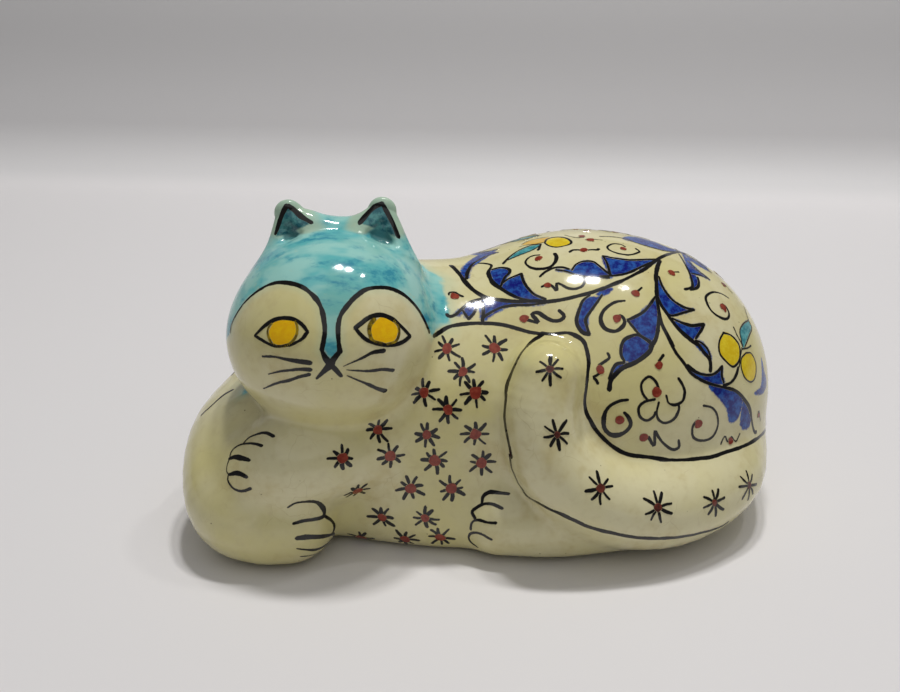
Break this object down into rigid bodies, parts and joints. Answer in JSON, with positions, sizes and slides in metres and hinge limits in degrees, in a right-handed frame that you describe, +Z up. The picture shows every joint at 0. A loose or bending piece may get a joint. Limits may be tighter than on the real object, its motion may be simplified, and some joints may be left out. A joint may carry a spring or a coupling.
{
  "type": "cat figurine",
  "caption": "Glazed ceramic figurine of a cat lying curled with its chin on a foreleg and its tail wrapped round its side, hollow, with a flat closed base.",
  "frame": {"origin": "on the table under the middle of the cat, the bottom centre of its bounding box", "axes": "+Z up, +X towards the rump along the body, -Y the side the face and paws look to"},
  "size_m": [0.2131, 0.1266, 0.1188],
  "materials": {
    "cream_glaze": "glossy cream glaze with fine crazing",
    "turquoise_glaze": "glossy brushed turquoise glaze",
    "bare_clay": "unglazed fired clay",
    "cobalt_paint": "cobalt blue underglaze with soft bleeding edges",
    "black_paint": "black-brown underglaze brush line",
    "yellow_paint": "amber yellow underglaze",
    "red_paint": "red-brown underglaze dot"
  },
  "bodies": {
    "root": {"body_shell": "cream_glaze", "base_slab": "bare_clay", "head_shell": "turquoise_glaze", "ear_right": "turquoise_glaze", "ear_left": "turquoise_glaze", "tail": "cream_glaze", "foreleg_right": "cream_glaze", "foreleg_left": "cream_glaze", "hind_paw": "cream_glaze"}
  },
  "joints": []
}
